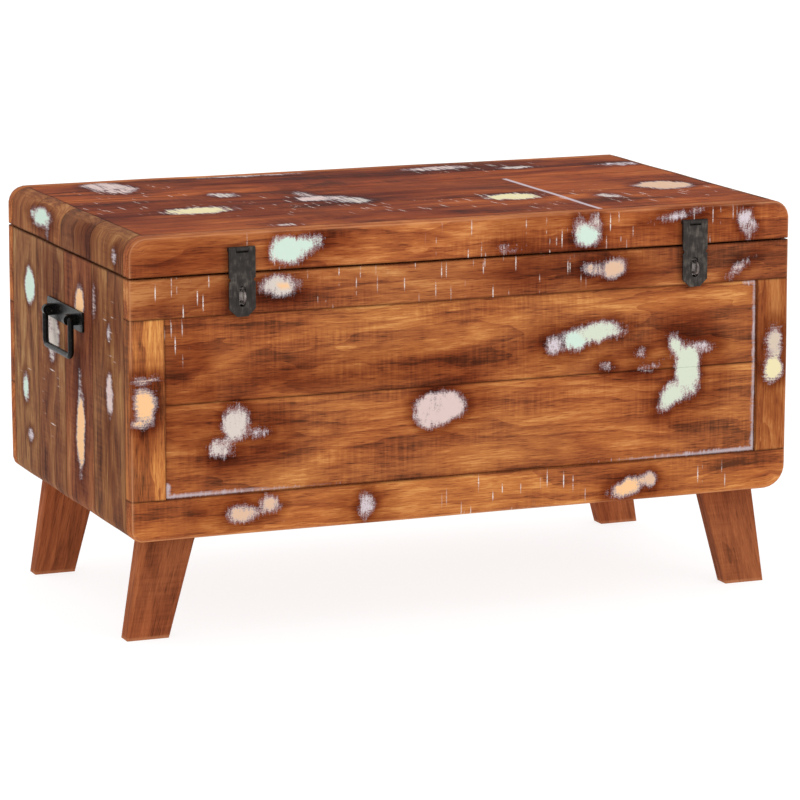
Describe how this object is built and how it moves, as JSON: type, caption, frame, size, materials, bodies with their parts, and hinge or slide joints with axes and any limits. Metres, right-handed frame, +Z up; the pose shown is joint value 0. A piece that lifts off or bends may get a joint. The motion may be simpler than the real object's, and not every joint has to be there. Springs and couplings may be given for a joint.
{
  "type": "wooden storage chest",
  "caption": "Low rectangular storage chest of reclaimed boards with a rear-hinged lid, hasps on the front, a drop handle on each end and splayed plank legs.",
  "frame": {"origin": "on the floor, under the middle of the overall box", "axes": "+X along the front to the right, +Y from front to back, +Z up"},
  "size_m": [0.729, 0.42, 0.4],
  "materials": {
    "frame_boards": "sanded and clear-lacquered reclaimed hardwood with worn paint",
    "panel_boards": "sanded and clear-lacquered reclaimed hardwood with worn paint",
    "end_planks": "sanded and clear-lacquered reclaimed hardwood with worn paint",
    "lid_boards": "sanded and clear-lacquered reclaimed hardwood with worn paint",
    "inner_boards": "sanded hardwood",
    "legs": "clear-lacquered hardwood",
    "hasp_iron": "matt blackened iron",
    "handle_iron": "satin black lacquered iron",
    "hinge_iron": "matt blackened iron",
    "screws": "plain steel"
  },
  "bodies": {
    "chest": {"front_bottom_rail": "frame_boards", "front_top_rail": "frame_boards", "front_left_stile": "frame_boards", "front_right_stile": "frame_boards", "front_panel_lower_board": "panel_boards", "front_panel_upper_board": "panel_boards", "back_board_1": "frame_boards", "back_board_2": "frame_boards", "back_board_3": "frame_boards", "left_side_plank_1": "end_planks", "right_side_plank_1": "end_planks", "left_side_plank_2": "end_planks", "right_side_plank_2": "end_planks", "left_side_plank_3": "end_planks", "right_side_plank_3": "end_planks", "left_side_plank_4": "end_planks", "right_side_plank_4": "end_planks", "bottom_board_1": "inner_boards", "bottom_board_2": "inner_boards", "bottom_board_3": "inner_boards", "front_left_leg": "legs", "front_right_leg": "legs", "back_left_leg": "legs", "back_right_leg": "legs", "leg_screws": "screws", "left_hasp_staple": "hasp_iron", "right_hasp_staple": "hasp_iron", "left_hinge_body_leaf": "hinge_iron", "right_hinge_body_leaf": "hinge_iron", "hinge_pins": "hinge_iron", "left_handle_plate": "handle_iron", "right_handle_plate": "handle_iron", "chest_hardware_screws": "screws"},
    "lid": {"lid_front_rail": "frame_boards", "lid_back_rail": "frame_boards", "lid_left_end_plank_1": "end_planks", "lid_right_end_plank_1": "end_planks", "lid_left_end_plank_2": "end_planks", "lid_right_end_plank_2": "end_planks", "lid_left_end_plank_3": "end_planks", "lid_right_end_plank_3": "end_planks", "lid_left_end_plank_4": "end_planks", "lid_right_end_plank_4": "end_planks", "lid_top_board_1_left": "lid_boards", "lid_top_board_1_right": "lid_boards", "lid_top_board_2_left": "lid_boards", "lid_top_board_2_right": "lid_boards", "lid_top_board_3": "lid_boards", "lid_top_board_4": "lid_boards", "left_hinge_lid_leaf": "hinge_iron", "right_hinge_lid_leaf": "hinge_iron", "left_hasp_leaf": "hasp_iron", "right_hasp_leaf": "hasp_iron", "hasp_pins": "hasp_iron", "lid_hardware_screws": "screws"},
    "left_hasp": {"left_hasp_strap": "hasp_iron"},
    "right_hasp": {"right_hasp_strap": "hasp_iron"},
    "left_handle": {"left_handle_bail": "handle_iron"},
    "right_handle": {"right_handle_bail": "handle_iron"}
  },
  "joints": [
    {"name": "lid_hinge", "type": "hinge", "parent": "chest", "child": "lid", "pos_m": [0, 0.2068, 0.3609], "axis": [-1, 0, 0], "range_deg": [0, 105]},
    {"name": "left_hasp_hinge", "type": "hinge", "parent": "lid", "child": "left_hasp", "pos_m": [-0.238, -0.1994, 0.3843], "axis": [-1, 0, 0], "range_deg": [0, 170]},
    {"name": "right_hasp_hinge", "type": "hinge", "parent": "lid", "child": "right_hasp", "pos_m": [0.242, -0.1994, 0.3843], "axis": [-1, 0, 0], "range_deg": [0, 170]},
    {"name": "left_bail_hinge", "type": "hinge", "parent": "chest", "child": "left_handle", "pos_m": [-0.359, 0.0034, 0.297], "axis": [0, 1, 0], "range_deg": [-7, 170]},
    {"name": "right_bail_hinge", "type": "hinge", "parent": "chest", "child": "right_handle", "pos_m": [0.359, 0.0034, 0.297], "axis": [0, -1, 0], "range_deg": [-7, 170]}
  ]
}
